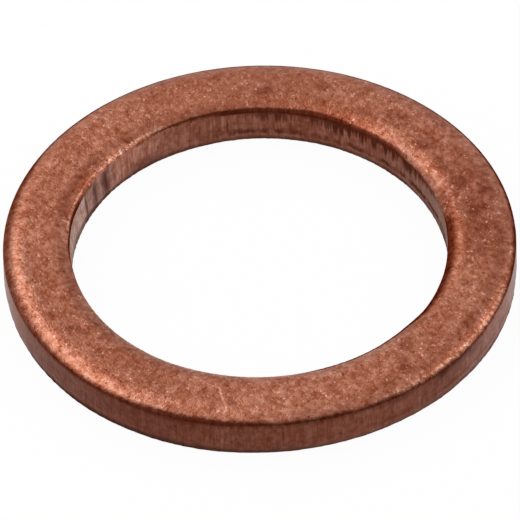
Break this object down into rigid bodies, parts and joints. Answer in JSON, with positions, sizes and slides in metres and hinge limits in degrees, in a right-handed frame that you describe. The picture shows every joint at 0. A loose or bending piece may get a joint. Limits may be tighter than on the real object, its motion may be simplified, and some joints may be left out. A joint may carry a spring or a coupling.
{
  "type": "crush washer",
  "caption": "Flat copper ring with rolled-over rims and a punched bore, squeezed between a plug or hollow bolt and its seat to seal the joint.",
  "frame": {"origin": "middle of the burr face, on the bore axis: the face that the ring lies on", "axes": "+Z along the bore axis, from the burr face to the face with the rolled-over edges; X and Y lie in the ring's plane"},
  "size_m": [0.0178, 0.0178, 0.0016],
  "materials": {
    "copper": "punched soft copper, tumbled satin, lightly tarnished"
  },
  "bodies": {
    "root": {"crush_washer": "copper"}
  },
  "joints": []
}
